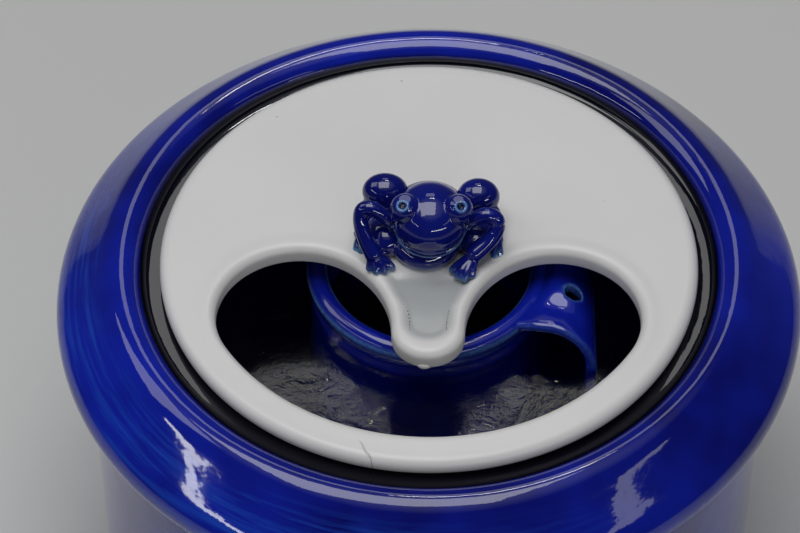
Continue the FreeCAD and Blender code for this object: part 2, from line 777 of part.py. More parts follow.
def make_rotor():
    """Fixed ceramic shaft, its two bushes, and the magnet and impeller that turn on it."""
    bore = "($shaft_radius + $running_clearance)"
    bush_y = "($pump_front + @bore_depth - $bush_length)"
    web = "(@volute_y + $volute_web)"
    rotor_y = "$pump_front + $rotor_front_gap"
    turned("impeller_shaft", web + " - $shaft_socket", [
        ("0", "0"),
        ("$shaft_radius", "0"),
        ("$shaft_radius", bush_y + " + $bush_length - " + web),
        ("0", bush_y + " + $bush_length - " + web),
    ])
    turned("rear_bush", bush_y, [
        ("$shaft_radius", "0"),
        ("$rotor_bore", "0"),
        ("$rotor_bore", "$bush_length"),
        ("$shaft_radius", "$bush_length"),
    ])
    magnet = "(@bore_depth - $bush_length - $rotor_front_gap - $rotor_rear_gap)"
    turned("rotor_magnet", rotor_y, [
        (bore, "0"),
        ("$rotor_bore - $rotor_clearance", "0"),
        ("$rotor_bore - $rotor_clearance", magnet),
        (bore, magnet),
    ])
    hub = "(" + bore + " + $hub_wall)"
    plate = "(-$plate_gap - $plate_thickness)"
    impeller = turned("impeller", rotor_y, [
        (bore, "0"),
        (bore, "-$plate_gap - $impeller_width"),
        (hub, "-$plate_gap - $impeller_width"),
        (hub, plate),
        ("$impeller_radius", plate),
        ("$impeller_radius", "-$plate_gap"),
        (hub, "-$plate_gap"),
        (hub, "0"),
    ])
    doc.recompute()
    blade = new_sketch(impeller, "blade_outline", "XZ_Plane", "$plate_gap + $plate_thickness")
    rectangle(blade, hub + " - $blade_root", "-$blade_thickness / 2",
              "$impeller_radius", "$blade_thickness / 2")
    vane = pad(impeller, "blade", blade, "$impeller_width - $plate_thickness")
    polar(impeller, "blades", vane, blade, "$blade_count")


def make_volute():
    """Front chamber with its inlets, boss and outlet, and the seal behind it."""
    cover = new_body("volute_cover", "0", "$pump_front", "@axle_z")
    face = new_sketch(cover, "volute_outline", "XZ_Plane")
    rectangle(face, "-$volute_half_width", "-@volute_reach", "$volute_half_width", "@volute_reach")
    pad(cover, "volute", face, "$volute_depth")
    doc.recompute()
    chamber = new_sketch(cover, "chamber_outline", "XZ_Plane")
    circle(chamber, "0", "0", "$chamber_radius")
    pocket(cover, "chamber", chamber, "$volute_depth - $volute_web", True)
    groove = new_sketch(cover, "seal_groove_outline", "XZ_Plane")
    circle(groove, "0", "0", "$chamber_radius + $seal_gap")
    circle(groove, "0", "0", "$chamber_radius + $seal_gap + $seal_width")
    pocket(cover, "seal_groove", groove, "$seal_depth", True)
    seat = new_sketch(cover, "shaft_seat_outline", "XZ_Plane", "$volute_depth - $volute_web")
    circle(seat, "0", "0", "$shaft_radius")
    pocket(cover, "shaft_seat", seat, "$shaft_socket", True)
    boss = new_sketch(cover, "boss_outline", "XZ_Plane", "$volute_depth")
    circle(boss, "0", "0", "$boss_radius")
    pad(cover, "boss", boss, "$regulator_thickness + $fit_clearance + $boss_stand")
    inlet = new_sketch(cover, "inlet_outline", "XZ_Plane", "$volute_depth")
    circle(inlet, "$inlet_circle", "0", "$inlet_radius")
    hole = pocket(cover, "inlet", inlet, "$volute_web")
    polar(cover, "inlets", hole, inlet, "$inlet_count")
    doc.recompute()
    way = new_sketch(cover, "outlet_outline", "XY_Plane", "@volute_reach")
    circle(way, "0", "@spout_y - $pump_front", "$spout_bore")
    pocket(cover, "outlet", way, "@volute_reach")
    turned("volute_seal", "$pump_front - $seal_depth", [
        ("$chamber_radius + $seal_gap", "0"),
        ("$chamber_radius + $seal_gap + $seal_width", "0"),
        ("$chamber_radius + $seal_gap + $seal_width", "$seal_depth"),
        ("$chamber_radius + $seal_gap", "$seal_depth"),
    ])


def make_regulator():
    """Flow regulator: a dial with matching holes that turns on the volute's boss."""
    dial = new_body("flow_regulator", "0", "@volute_y - $fit_clearance", "@axle_z")
    face = new_sketch(dial, "dial_outline", "XZ_Plane")
    circle(face, "0", "0", "$regulator_radius")
    circle(face, "0", "0", "$boss_radius + $running_clearance")
    pad(dial, "dial", face, "$regulator_thickness")
    hole_face = new_sketch(dial, "dial_hole_outline", "XZ_Plane", "$regulator_thickness")
    circle(hole_face, "$inlet_circle", "0", "$inlet_radius")
    hole = pocket(dial, "dial_hole", hole_face, "$regulator_thickness")
    polar(dial, "dial_holes", hole, hole_face, "$inlet_count")
    doc.recompute()
    tab = new_sketch(dial, "tab_outline", "XZ_Plane")
    rectangle(tab, "-$tab_half", "$regulator_radius - $tab_root",
              "$tab_half", "$regulator_radius + $tab_length")
    pad(dial, "tab", tab, "$regulator_thickness")


def make_spout():
    """Outlet spout on the volute and the soft riser tube that carries the water to the cover."""
    spout = new_body("outlet_spout", "0", "@spout_y", "@volute_top")
    revolve(spout, "spout_section", [
        ("$spout_bore", "0"),
        ("$spout_flange", "0"),
        ("$spout_flange", "$flange_thickness"),
        ("$spout_radius", "$flange_thickness"),
        ("$spout_radius", "$spout_height"),
        ("$spout_bore", "$spout_height"),
    ])
    tall = "(@seat_z - $riser_gap - @volute_top - $flange_thickness)"
    riser = new_body("riser_tube", "0", "@spout_y", "@volute_top + $flange_thickness")
    revolve(riser, "riser_section", [
        ("$spout_radius", "0"),
        ("@riser_r", "0"),
        ("@riser_r", tall),
        ("$spout_radius", tall),
    ])


make_pot()
make_well()
make_hood()
make_disc()
make_collar()
make_frog()
make_cage()
make_suckers()
pump_housing = make_motor()
make_rotor_bore(pump_housing)
make_core()
make_rear_cap()
make_rotor()
make_volute()
make_regulator()
make_spout()
doc.recompute()

faults = []
for item in doc.Objects:
    if "Invalid" in item.State or "Error" in item.State:
        faults.append("%s: %s" % (item.Label, item.State))
pieces = [item for item in doc.Objects if item.TypeId in ("PartDesign::Body", "Part::Feature")]
for item in pieces:
    if item.Shape.isNull() or not item.Shape.isValid() or not item.Shape.Solids:
        faults.append("%s: shape is null, not valid or has no solid" % item.Label)
if faults:
    raise RuntimeError("\n".join(faults))
os.makedirs("parts", exist_ok=True)
for item in pieces:
    item.Shape.exportStep("parts/%s.step" % item.Label)
    box = item.Shape.BoundBox
    print("%-20s %2d %9.0f  x %.1f..%.1f y %.1f..%.1f z %.1f..%.1f" % (
        item.Label, len(item.Shape.Solids), item.Shape.Volume,
        box.XMin, box.XMax, box.YMin, box.YMax, box.ZMin, box.ZMax))
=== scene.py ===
"""Pet water fountain: glazed blue pot, white porcelain cover, frog spout and pump,
dressed around the frame."""
import json

import bmesh
import bpy
import numpy as np
from mathutils import Matrix, Vector


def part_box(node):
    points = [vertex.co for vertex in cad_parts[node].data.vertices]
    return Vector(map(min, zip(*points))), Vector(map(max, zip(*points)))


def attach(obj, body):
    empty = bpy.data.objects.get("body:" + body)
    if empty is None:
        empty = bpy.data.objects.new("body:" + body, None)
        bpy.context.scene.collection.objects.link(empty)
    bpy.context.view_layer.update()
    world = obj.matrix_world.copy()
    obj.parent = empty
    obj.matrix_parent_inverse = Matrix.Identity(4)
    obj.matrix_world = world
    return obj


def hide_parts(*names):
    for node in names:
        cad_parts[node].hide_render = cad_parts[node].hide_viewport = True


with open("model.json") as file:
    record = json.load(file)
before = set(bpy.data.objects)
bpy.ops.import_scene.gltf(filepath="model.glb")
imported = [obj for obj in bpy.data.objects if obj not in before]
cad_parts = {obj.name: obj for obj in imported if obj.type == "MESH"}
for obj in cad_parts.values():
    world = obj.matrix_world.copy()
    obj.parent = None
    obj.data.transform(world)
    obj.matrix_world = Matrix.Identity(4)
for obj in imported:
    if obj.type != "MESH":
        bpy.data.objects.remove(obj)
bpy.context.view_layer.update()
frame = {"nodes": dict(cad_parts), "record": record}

MM = 0.001

# Sizes in millimetres, as the construction has them.
RIM_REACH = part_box("pot_bowl")[1][0] / MM
RIM_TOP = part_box("pot_bowl")[1][2] / MM
DISC_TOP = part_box("cover_disc")[1][2] / MM
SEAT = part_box("cover_disc")[0][2] / MM
DISC_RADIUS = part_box("cover_disc")[1][0] / MM
WELL_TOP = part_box("pump_well")[1][2] / MM
WELL_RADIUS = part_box("pump_well")[1][0] / MM
WELL_BACK = (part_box("pump_well")[0][1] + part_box("pump_well")[1][1]) / 2 / MM
FLOOR_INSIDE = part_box("pump_well")[0][2] / MM
WATER_LEVEL = 121.0


def linear(hex_code):
    """sRGB hex to linear RGBA."""
    channels = np.array([int(hex_code[i:i + 2], 16) / 255 for i in (1, 3, 5)])
    low = channels / 12.92
    high = ((channels + 0.055) / 1.055) ** 2.4
    return (*np.where(channels <= 0.04045, low, high).tolist(), 1.0)


def new_mesh(name, points, quads):
    """Mesh object from points in millimetres and faces."""
    mesh = bpy.data.meshes.new(name)
    faces = quads.tolist() if isinstance(quads, np.ndarray) else quads
    mesh.from_pydata((np.asarray(points) * MM).tolist(), [], faces)
    mesh.shade_smooth()
    thing = bpy.data.objects.new(name, mesh)
    bpy.context.scene.collection.objects.link(thing)
    return thing


def grid(rows, columns, wrap_rows=False, wrap_columns=False):
    """Quads of a grid whose point (row, column) has the index row * columns + column."""
    row = np.arange(rows if wrap_rows else rows - 1)[:, None]
    column = np.arange(columns if wrap_columns else columns - 1)[None, :]
    next_row = (row + 1) % rows
    next_column = (column + 1) % columns
    corners = (row * columns + column, row * columns + next_column,
               next_row * columns + next_column, next_row * columns + column)
    return np.stack([np.broadcast_to(c, (row.size, column.size)).ravel() for c in corners], axis=1)


def arc(centre, radius, start, stop, count):
    """Points of a round stretch from one angle to another, in degrees."""
    angle = np.radians(np.linspace(start, stop, count))
    return np.stack([centre[0] + radius * np.cos(angle), centre[1] + radius * np.sin(angle)], axis=1)


def even(path, count, soften=0.0):
    """The path at equal steps, its corners softened over a length by a bell-shaped average."""
    step = np.hypot(*np.diff(path, axis=0).T)
    along = np.concatenate([[0], np.cumsum(step)])
    keep = np.concatenate([[True], step > 1e-9])
    fine = np.linspace(0, along[-1], count)
    even_path = np.stack([np.interp(fine, along[keep], path[keep, i]) for i in (0, 1)], axis=1)
    if soften <= 0:
        return even_path
    width = max(int(3 * soften / (fine[1] - fine[0])), 1)
    bell = np.exp(-0.5 * (np.arange(-width, width + 1) * (fine[1] - fine[0]) / soften) ** 2)
    bell /= bell.sum()
    padded = np.pad(even_path, ((width, width), (0, 0)), mode="edge")
    mean = np.stack([np.convolve(padded[:, i], bell, mode="valid") for i in (0, 1)], axis=1)
    mean[0] = even_path[0]
    mean[-1] = even_path[-1]
    return mean


def turned(name, profile, around, centre=(0.0, 0.0), wobble=None):
    """Surface of revolution: a profile of (radius, height) carried round a vertical axis.

    Wobble adds to the radius. A profile end on the axis is closed there by merging its points."""
    angle = np.linspace(0, 2 * np.pi, around, endpoint=False)
    radius = np.repeat(profile[:, :1], around, axis=1)
    height = np.repeat(profile[:, 1:], around, axis=1)
    if wobble is not None:
        radius = radius + wobble(angle[None, :], height) * (radius > 1)
    points = np.stack([centre[0] + radius * np.cos(angle), centre[1] + radius * np.sin(angle), height],
                      axis=2)
    thing = new_mesh(name, points.reshape(-1, 3), grid(len(profile), around, wrap_columns=True))
    merge(thing)
    return thing


def merge(thing, outward=True):
    """Points that coincide joined into one, and faces turned to point outwards."""
    work = bmesh.new()
    work.from_mesh(thing.data)
    bmesh.ops.remove_doubles(work, verts=work.verts, dist=2e-6)
    if outward:
        bmesh.ops.recalc_face_normals(work, faces=work.faces)
    work.to_mesh(thing.data)
    work.free()
    thing.data.shade_smooth()


def read(mesh, what="co", of="vertices"):
    """Three numbers of each item of the mesh, such as its points or normals, as rows."""
    items = getattr(mesh, of)
    values = np.empty(len(items) * 3)
    items.foreach_get(what, values)
    return values.reshape(-1, 3)


def write(mesh, points):
    """New places for all the points of the mesh, in metres."""
    mesh.vertices.foreach_set("co", np.ascontiguousarray(points).ravel())
    mesh.update()


def store(mesh, name, values):
    """One number for each point, kept under a name that a material reads."""
    layer = mesh.attributes.new(name, "FLOAT", "POINT")
    layer.data.foreach_set("value", np.ascontiguousarray(values, dtype=np.float32))


def bulge(mesh, reach=3):
    """How far each point stands out of its neighbours' mean along its normal, in mm.

    The value is high on edges and ridges."""
    co = read(mesh)
    edges = np.empty(len(mesh.edges) * 2, dtype=np.int64)
    mesh.edges.foreach_get("vertices", edges)
    first, second = edges.reshape(-1, 2).T
    count = np.bincount(np.concatenate([first, second]), minlength=len(co))[:, None]
    mean = co.copy()
    for _ in range(reach):
        total = np.zeros_like(mean)
        np.add.at(total, first, mean[second])
        np.add.at(total, second, mean[first])
        mean = total / np.maximum(count, 1)
    normal = read(mesh, "vector", "vertex_normals")
    return ((co - mean) * normal).sum(axis=1) / MM


def baked(thing):
    """The object with its modifiers applied."""
    graph = bpy.context.evaluated_depsgraph_get()
    mesh = bpy.data.meshes.new_from_object(thing.evaluated_get(graph))
    thing.modifiers.clear()
    old = thing.data
    thing.data = mesh
    bpy.data.meshes.remove(old)
    thing.data.shade_smooth()
    return thing


def fused(name, parts, voxel, smooth, cutters=()):
    """Closed surfaces merged into one clay-like skin by a voxel remesh, then relaxed."""
    points = []
    quads = []
    start = 0
    for part_points, part_quads in parts:
        points.append(part_points)
        quads.extend((np.asarray(part_quads) + start).tolist())
        start += len(part_points)
    thing = new_mesh(name, np.concatenate(points), quads)
    remesh = thing.modifiers.new("skin", "REMESH")
    remesh.mode = "VOXEL"
    remesh.voxel_size = voxel * MM
    for cutter in cutters:
        cut = thing.modifiers.new("cut", "BOOLEAN")
        cut.object = cutter
        cut.operation = "DIFFERENCE"
    relax = thing.modifiers.new("relax", "SMOOTH")
    relax.iterations = smooth
    relax.factor = 0.5
    baked(thing)
    return thing


def ball(centre, half, rows=28, columns=40):
    """Ellipsoid: rows of latitude from pole to pole, columns of longitude."""
    latitude = np.linspace(-np.pi / 2, np.pi / 2, rows)[:, None]
    longitude = np.linspace(0, 2 * np.pi, columns, endpoint=False)[None, :]
    points = np.stack([centre[0] + half[0] * np.cos(latitude) * np.cos(longitude),
                       centre[1] + half[1] * np.cos(latitude) * np.sin(longitude),
                       centre[2] + half[2] * np.sin(latitude) + 0 * longitude], axis=2)
    return points.reshape(-1, 3), grid(rows, columns, wrap_columns=True)


def smooth_path(points, count):
    """Catmull-Rom curve through the points, as count points."""
    knots = np.asarray(points, dtype=float)
    ends = np.vstack([2 * knots[0] - knots[1], knots, 2 * knots[-1] - knots[-2]])
    place = np.linspace(0, len(knots) - 1 - 1e-9, count)
    index = place.astype(int)
    part = (place - index)[:, None]
    a, b, c, d = (ends[index + i] for i in range(4))
    return 0.5 * (2 * b + (c - a) * part + (2 * a - 5 * b + 4 * c - d) * part ** 2
                  + (3 * b - a - 3 * c + d) * part ** 3)


def limb(points, radii, columns=24, count=40):
    """Tube along a smooth path whose radius goes smoothly through the given radii, with round ends."""
    path = smooth_path(np.column_stack([points, radii]), count)
    radius = path[:, 3]
    path = path[:, :3]
    tangent = np.gradient(path, axis=0)
    tangent /= np.linalg.norm(tangent, axis=1)[:, None]
    cap = np.radians(np.linspace(90, 0, 7)[:-1])
    head = path[0] - tangent[0] * (radius[0] * np.sin(cap))[:, None]
    tail = path[-1] + tangent[-1] * (radius[-1] * np.sin(cap[::-1]))[:, None]
    path = np.vstack([head, path, tail])
    tangent = np.vstack([np.repeat(tangent[:1], 6, axis=0), tangent, np.repeat(tangent[-1:], 6, axis=0)])
    radius = np.concatenate([radius[0] * np.cos(cap), radius, radius[-1] * np.cos(cap[::-1])])
    side = np.cross(tangent, (0.0, 0.35, 1.0))
    side /= np.linalg.norm(side, axis=1)[:, None]
    up = np.cross(side, tangent)
    angle = np.linspace(0, 2 * np.pi, columns, endpoint=False)
    ring = (side[:, None, :] * np.cos(angle)[None, :, None] + up[:, None, :] * np.sin(angle)[None, :, None])
    points = path[:, None, :] + ring * radius[:, None, None]
    return points.reshape(-1, 3), grid(len(path), columns, wrap_columns=True)


def put(tree, kind, values=None, links=None, **settings):
    """Add a node, with its settings, its socket values and its links."""
    made = tree.nodes.new(kind)
    for key, value in settings.items():
        setattr(made, key, value)
    for key, value in (values or {}).items():
        made.inputs[key].default_value = value
    for key, source in (links or {}).items():
        tree.links.new(source, made.inputs[key])
    return made


def new_material(name):
    """Material with its node tree and its main shader."""
    material = bpy.data.materials.new(name)
    material.use_nodes = True
    tree = material.node_tree
    shader = tree.nodes["Principled BSDF"]
    return material, tree, shader


def cobalt_glaze(name, deep="#0A0E66", lit="#1224A8", thin="#5E8CC6", wave=1.0):
    """Cobalt glaze, dipped and fired: deep where it pools, lighter where it runs thin over an edge. It is
    painted near black as shade where the mesh marks that, and it has lighter blue brush streaks where the
    mesh marks them, which are partly painted light.
    """
    material, tree, shader = new_material(name)
    place = put(tree, "ShaderNodeTexCoord").outputs["Object"]
    cloud = put(tree, "ShaderNodeTexNoise", {"Scale": 1 / 0.055, "Detail": 3.0, "Roughness": 0.55},
                {"Vector": place})
    pool_and_painted_shade = put(tree, "ShaderNodeMapRange", {"From Min": 0.34, "From Max": 0.68},
               {"Value": cloud.outputs["Fac"]})
    body = put(tree, "ShaderNodeMix", {"A": linear(deep), "B": linear(lit)},
               {"Factor": pool_and_painted_shade.outputs["Result"]},
               data_type="RGBA")
    # Lighter blue brush streaks where the mesh marks them. On the pot they lie only on the lit left of the
    # rim, so they are partly painted light.
    grain = put(tree, "ShaderNodeAttribute", attribute_name="brush")
    stroke = put(tree, "ShaderNodeTexNoise", {"Scale": 1.0, "Detail": 3.0, "Roughness": 0.6},
                 {"Vector": grain.outputs["Vector"]})
    band = put(tree, "ShaderNodeAttribute", attribute_name="brushed_and_painted_light")
    stroke_part = put(tree, "ShaderNodeMapRange", {"From Min": 0.46, "From Max": 0.72},
                      {"Value": stroke.outputs["Fac"]})
    brushed_and_painted_light = put(tree, "ShaderNodeMath", links={0: band.outputs["Fac"], 1: stroke_part.outputs["Result"]},
                  operation="MULTIPLY")
    body = put(tree, "ShaderNodeMix", {"B": linear("#1E4CBC")},
               {"Factor": brushed_and_painted_light.outputs[0], "A": body.outputs["Result"]}, data_type="RGBA")
    edge = put(tree, "ShaderNodeAttribute", attribute_name="thin")
    fleck = put(tree, "ShaderNodeTexNoise", {"Scale": 1 / 0.0012, "Detail": 2.0}, {"Vector": place})
    broken = put(tree, "ShaderNodeMath", links={0: edge.outputs["Fac"], 1: fleck.outputs["Fac"]},
                 operation="MULTIPLY")
    amount = put(tree, "ShaderNodeMath", {1: 1.7}, {0: broken.outputs[0]}, operation="MULTIPLY",
                 use_clamp=True)
    colour = put(tree, "ShaderNodeMix", {"B": linear(thin)},
                 {"Factor": amount.outputs[0], "A": body.outputs["Result"]}, data_type="RGBA")
    # Near black where the mesh marks it: painted shade in the pot's seat and in the frog's mouth groove, and
    # the frog's recessed pupils.
    painted_shade_place = put(tree, "ShaderNodeAttribute", attribute_name="pool_and_painted_shade")
    painted_shade_mix = put(tree, "ShaderNodeMix", {"B": linear("#03030F")},
                 {"Factor": painted_shade_place.outputs["Fac"], "A": colour.outputs["Result"]}, data_type="RGBA")
    tree.links.new(painted_shade_mix.outputs["Result"], shader.inputs["Base Color"])
    shader.inputs["Roughness"].default_value = 0.05
    shader.inputs["IOR"].default_value = 1.52
    shader.inputs["Coat Weight"].default_value = 0.35
    shader.inputs["Coat Roughness"].default_value = 0.03
    drift = put(tree, "ShaderNodeTexNoise", {"Scale": 1 / 0.018, "Detail": 2.0}, {"Vector": place})
    peel = put(tree, "ShaderNodeTexNoise", {"Scale": 1 / 0.0022, "Detail": 1.0}, {"Vector": place})
    slow = put(tree, "ShaderNodeBump", {"Strength": 0.25 * wave, "Distance": 0.0008},
               {"Height": drift.outputs["Fac"]})
    fine = put(tree, "ShaderNodeBump", {"Strength": 0.06, "Distance": 0.0002},
               {"Height": peel.outputs["Fac"], "Normal": slow.outputs["Normal"]})
    tree.links.new(fine.outputs["Normal"], shader.inputs["Normal"])
    tree.links.new(fine.outputs["Normal"], shader.inputs["Coat Normal"])
    return material


def porcelain(name):
    """Polished white porcelain: a soft sheen, faint turning rings and a few iron specks."""
    material, tree, shader = new_material(name)
    place = put(tree, "ShaderNodeTexCoord").outputs["Object"]
    cloud = put(tree, "ShaderNodeTexNoise", {"Scale": 1 / 0.05, "Detail": 4.0}, {"Vector": place})
    body = put(tree, "ShaderNodeMix", {"A": linear("#D8D6D4"), "B": linear("#E0DFDD")},
               {"Factor": cloud.outputs["Fac"]}, data_type="RGBA")
    wet = put(tree, "ShaderNodeAttribute", attribute_name="channel")
    # Painted shade: the tongue's dish is painted greyer where the frog's shadow falls, and the same mark
    # makes it glossier.
    painted_shade_mix = put(tree, "ShaderNodeMix", {"B": linear("#ABAEAD")},
                 {"Factor": wet.outputs["Fac"], "A": body.outputs["Result"]}, data_type="RGBA")
    cell = put(tree, "ShaderNodeTexVoronoi", {"Scale": 1 / 0.017}, {"Vector": place})
    speck = put(tree, "ShaderNodeMapRange",
                {"From Min": 0.018, "From Max": 0.032, "To Min": 0.55, "To Max": 0.0},
                {"Value": cell.outputs["Distance"]})
    colour = put(tree, "ShaderNodeMix", {"B": linear("#8A837B")},
                 {"Factor": speck.outputs["Result"], "A": painted_shade_mix.outputs["Result"]}, data_type="RGBA")
    along = put(tree, "ShaderNodeMapping",
                {"Location": (-0.0183, -0.0815, 0.0), "Rotation": (0.0, 0.0, 0.42)},
                {"Vector": place}, vector_type="TEXTURE")
    wander = put(tree, "ShaderNodeTexNoise", {"Scale": 1 / 0.004, "Detail": 2.0}, {"Vector": place})
    shift = put(tree, "ShaderNodeMapRange", {"To Min": -0.0016, "To Max": 0.0016},
                {"Value": wander.outputs["Fac"]})
    crack_axes = put(tree, "ShaderNodeSeparateXYZ", links={0: along.outputs["Vector"]})
    across = put(tree, "ShaderNodeMath", links={0: crack_axes.outputs["X"], 1: shift.outputs["Result"]},
                 operation="ADD")
    apart = put(tree, "ShaderNodeMath", links={0: across.outputs[0]}, operation="ABSOLUTE")
    thread = put(tree, "ShaderNodeMapRange",
                 {"From Min": 0.0001, "From Max": 0.0004, "To Min": 1.0, "To Max": 0.0},
                 {"Value": apart.outputs[0]})
    reach = put(tree, "ShaderNodeMath", links={0: crack_axes.outputs["Y"]}, operation="ABSOLUTE")
    ends = put(tree, "ShaderNodeMapRange",
               {"From Min": 0.0035, "From Max": 0.0055, "To Min": 1.0, "To Max": 0.0},
               {"Value": reach.outputs[0]})
    crack = put(tree, "ShaderNodeMath", links={0: thread.outputs["Result"], 1: ends.outputs["Result"]},
                operation="MULTIPLY")
    faint = put(tree, "ShaderNodeMath", {1: 0.35}, {0: crack.outputs[0]}, operation="MULTIPLY")
    colour = put(tree, "ShaderNodeMix", {"B": linear("#8D8780")},
                 {"Factor": faint.outputs[0], "A": colour.outputs["Result"]}, data_type="RGBA")
    tree.links.new(colour.outputs["Result"], shader.inputs["Base Color"])
    gloss = put(tree, "ShaderNodeMapRange", {"To Min": 0.36, "To Max": 0.16}, {"Value": wet.outputs["Fac"]})
    tree.links.new(gloss.outputs["Result"], shader.inputs["Roughness"])
    shader.inputs["IOR"].default_value = 1.5
    rings = put(tree, "ShaderNodeTexWave", {"Scale": 1 / 0.010, "Distortion": 1.5, "Detail": 2.0},
                {"Vector": place},
                wave_type="RINGS", rings_direction="Z")
    turn = put(tree, "ShaderNodeBump", {"Strength": 0.025, "Distance": 0.0002},
               {"Height": rings.outputs["Fac"]})
    grain = put(tree, "ShaderNodeTexNoise", {"Scale": 1 / 0.0009, "Detail": 2.0}, {"Vector": place})
    fine = put(tree, "ShaderNodeBump", {"Strength": 0.05, "Distance": 0.0001},
               {"Height": grain.outputs["Fac"], "Normal": turn.outputs["Normal"]})
    slit = put(tree, "ShaderNodeBump", {"Strength": 0.6, "Distance": 0.0004},
               {"Height": crack.outputs[0], "Normal": fine.outputs["Normal"]}, invert=True)
    tree.links.new(slit.outputs["Normal"], shader.inputs["Normal"])
    return material


def plain(name, dark, light, rough, grit, strength, metallic=0.0, ior=1.46):
    """A moulded or drawn finish: two near tones in fine grit, with a bump of the same grit."""
    material, tree, shader = new_material(name)
    place = put(tree, "ShaderNodeTexCoord").outputs["Object"]
    grain = put(tree, "ShaderNodeTexNoise", {"Scale": 1 / (grit * MM), "Detail": 3.0}, {"Vector": place})
    body = put(tree, "ShaderNodeMix", {"A": linear(dark), "B": linear(light)},
               {"Factor": grain.outputs["Fac"]},
               data_type="RGBA")
    tree.links.new(body.outputs["Result"], shader.inputs["Base Color"])
    bump = put(tree, "ShaderNodeBump", {"Strength": strength, "Distance": 0.0002},
               {"Height": grain.outputs["Fac"]})
    tree.links.new(bump.outputs["Normal"], shader.inputs["Normal"])
    shader.inputs["Roughness"].default_value = rough
    shader.inputs["Metallic"].default_value = metallic
    shader.inputs["IOR"].default_value = ior
    return material


# The pot's glaze is wet-looking. It is near black in the seat under the rim, which is painted shade, and
# bright blue on the left of the rim where the brush dragged it, which is partly painted light.
GLAZE = cobalt_glaze("cobalt_glaze_on_stoneware")
# The frog's glaze is darker and smoother, with pale blue where it ran off the eyes and fingers.
FROG_GLAZE = cobalt_glaze("cobalt_glaze_on_frog", deep="#090D58", lit="#122088", thin="#5E8FC4", wave=0.4)
# The cover is a warm white with a silky sheen. It is glossier where water lies in its dish, and greyer there
# as painted shade of the frog's shadow.
PORCELAIN = porcelain("polished_porcelain")
PLAIN = {
    # Black with a soft sheen, so the strainer's edges catch a thin line of light.
    "black_plastic": plain("moulded_black_abs", "#0C0C0E", "#1C1C1E", 0.34, 0.6, 0.12),
    # Even mid grey, a little duller than the black.
    "grey_plastic": plain("moulded_grey_abs", "#55585A", "#64676A", 0.45, 0.6, 0.12),
    # Milky and pale, with a soft uneven surface.
    "clear_silicone": plain("milky_silicone", "#B9BEC0", "#CDD1D2", 0.35, 4.0, 0.05),
    # Dull black that shows hardly any highlight.
    "black_rubber": plain("moulded_black_rubber", "#0C0C0D", "#18181A", 0.7, 0.5, 0.15),
    # Cold grey metal, broken up by the fine edges of its sheets.
    "core_steel": plain("laminated_core_steel", "#6D6E70", "#8E8F92", 0.38, 0.5, 0.2, metallic=1.0),
    # Orange-brown metal with a varnished shine.
    "copper_coil": plain("enamelled_copper", "#8E4A22", "#C0703A", 0.3, 0.3, 0.35, metallic=1.0),
    # Dark grey and stony, with no shine.
    "ferrite": plain("sintered_ferrite", "#17171A", "#26262A", 0.6, 0.4, 0.2),
    # Hard cream white with a sharp highlight.
    "shaft_ceramic": plain("polished_alumina", "#E4E3DE", "#F0EFEA", 0.2, 0.5, 0.02, ior=1.76),
    # The solids that keep their own meshes share the finishes of the dressed pieces.
    "white_porcelain": PORCELAIN,
    "cobalt_glaze": GLAZE,
}


def dress(thing, material, body, slot, *nodes):
    """Material and frame calls of a finished piece: its body and the nodes it replaces. The slot is not used.
    """
    thing.data.materials.clear()
    thing.data.materials.append(material)
    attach(thing, body)
    if nodes:
        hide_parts(*nodes)


def make_pot():
    """Pot's outer and inner skin: the construction's section with soft corners, a little out of round."""
    nose = (RIM_REACH - 8.3, RIM_TOP - 21.1)
    crest = (99.0, SEAT)
    profile = np.vstack([
        [[0, 2.0], [84.0, 2.0], [86.0, 0.0]],
        arc((105.0, 5.0), 5.0, -90, 0, 12),
        [[111.0, nose[1] - 10.3]],
        arc(nose, 8.3, -90, 46, 30),
        arc(crest, RIM_TOP - SEAT, 46, 180, 30),
        [[80.0, SEAT], [80.0, SEAT - 6.0], [104.5, SEAT - 20.0]],
        arc((91.5, FLOOR_INSIDE + 12), 12.0, 0, -90, 12),
        [[0, FLOOR_INSIDE]],
    ])
    profile = even(profile, 420, 1.9)

    def wobble(angle, height):
        tall = np.clip((height - 60) / 60, 0, 1)
        return -0.35 + 0.18 * np.sin(2 * angle + 0.6) + 0.12 * np.sin(5 * angle + height / 17) * tall

    pot = turned("pot_glazed", profile, 230, wobble=wobble)
    co = read(pot.data) / MM
    radius = np.hypot(co[:, 0], co[:, 1])
    store(pot.data, "thin", np.zeros(len(co)))
    # Painted shade: the seat inside the lip, under the rim's crest, is painted near black.
    inner_lip = smooth_step(93.6, 92.2, radius)
    under_crest = smooth_step(147.4, 146.2, co[:, 2])
    store(pot.data, "pool_and_painted_shade", inner_lip * under_crest * (co[:, 2] > 120))
    around = np.arctan2(co[:, 1], co[:, 0])
    # Partly painted light: the lighter brush streaks lie only on the left-front of the outer rim, where the
    # light falls.
    left_side = smooth_step(0.3, -0.8, np.cos(around - 0.5))
    store(pot.data, "brushed_and_painted_light", 0.75 * smooth_step(104, 110, radius) * (co[:, 2] > 118) * left_side)
    brush = pot.data.attributes.new("brush", "FLOAT_VECTOR", "POINT")
    streak = np.stack([np.cos(around) * 3.2, np.sin(around) * 3.2, (radius - co[:, 2]) / 2.6], axis=1)
    brush.data.foreach_set("vector", streak.astype(np.float32).ravel())
    dress(pot, GLAZE, "pot", "cobalt_glaze", "pot_bowl")


